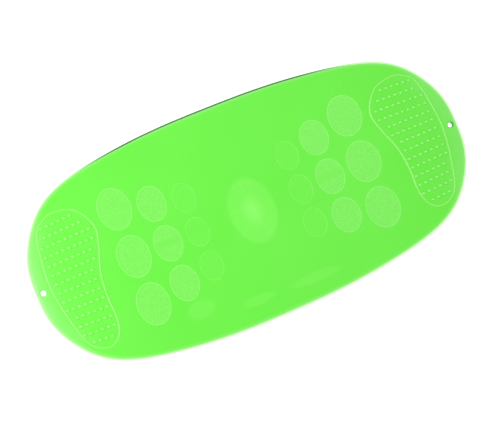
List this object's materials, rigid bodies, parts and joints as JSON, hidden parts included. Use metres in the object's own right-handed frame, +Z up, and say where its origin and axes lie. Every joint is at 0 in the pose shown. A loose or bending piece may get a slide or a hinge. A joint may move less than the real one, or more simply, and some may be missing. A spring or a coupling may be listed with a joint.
{
  "type": "balance board",
  "caption": "Curved twist balance board: a dished deck with two raised massage foot pads set in a rocker shell that rests on a flat middle disc, with a hanging hole at each end.",
  "frame": {"origin": "on the floor, at the middle of the flat contact disc under the board's middle", "axes": "+X along the board's length, +Y towards the toes of both foot pads, +Z up"},
  "size_m": [0.615, 0.304, 0.057],
  "materials": {
    "deck_plastic": "glossy injection-moulded ABS, bright green, with fine spark-eroded discs",
    "shell_plastic": "semi-gloss injection-moulded ABS, bright green",
    "screw_steel": "bright zinc plate"
  },
  "bodies": {
    "root": {"top_deck": "deck_plastic", "bottom_shell": "shell_plastic", "screw_1": "screw_steel", "screw_2": "screw_steel", "screw_3": "screw_steel", "screw_4": "screw_steel", "screw_5": "screw_steel", "screw_6": "screw_steel", "screw_7": "screw_steel", "screw_8": "screw_steel"}
  },
  "joints": []
}
